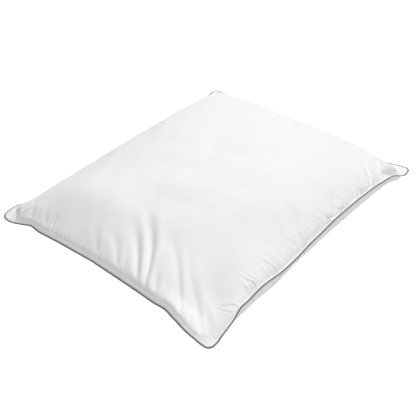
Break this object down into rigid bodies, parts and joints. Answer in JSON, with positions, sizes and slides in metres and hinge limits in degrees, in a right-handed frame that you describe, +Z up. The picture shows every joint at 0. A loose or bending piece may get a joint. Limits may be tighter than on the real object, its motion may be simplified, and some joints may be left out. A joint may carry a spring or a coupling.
{
  "type": "bed pillow",
  "caption": "Rectangular filled bed pillow in plain white cotton with flat corner ears and a thin contrasting corded edge.",
  "frame": {"origin": "centre of the resting face, on the surface the pillow lies on", "axes": "+X along the long side, +Y along the short side, +Z up through the crown"},
  "size_m": [0.5826, 0.4834, 0.099],
  "materials": {
    "white_cotton": "matte",
    "white_fibre": "matte",
    "grey_satin": "satin",
    "cord_core": "matte",
    "white_thread": "satin",
    "label_tape": "satin"
  },
  "bodies": {
    "root": {"upper_panel": "white_cotton", "lower_panel": "white_cotton", "fibre_fill": "white_fibre", "piping_cover": "grey_satin", "piping_cord": "cord_core", "needle_thread": "white_thread", "bobbin_thread": "white_thread", "closing_thread": "white_thread", "care_label": "label_tape"}
  },
  "joints": []
}
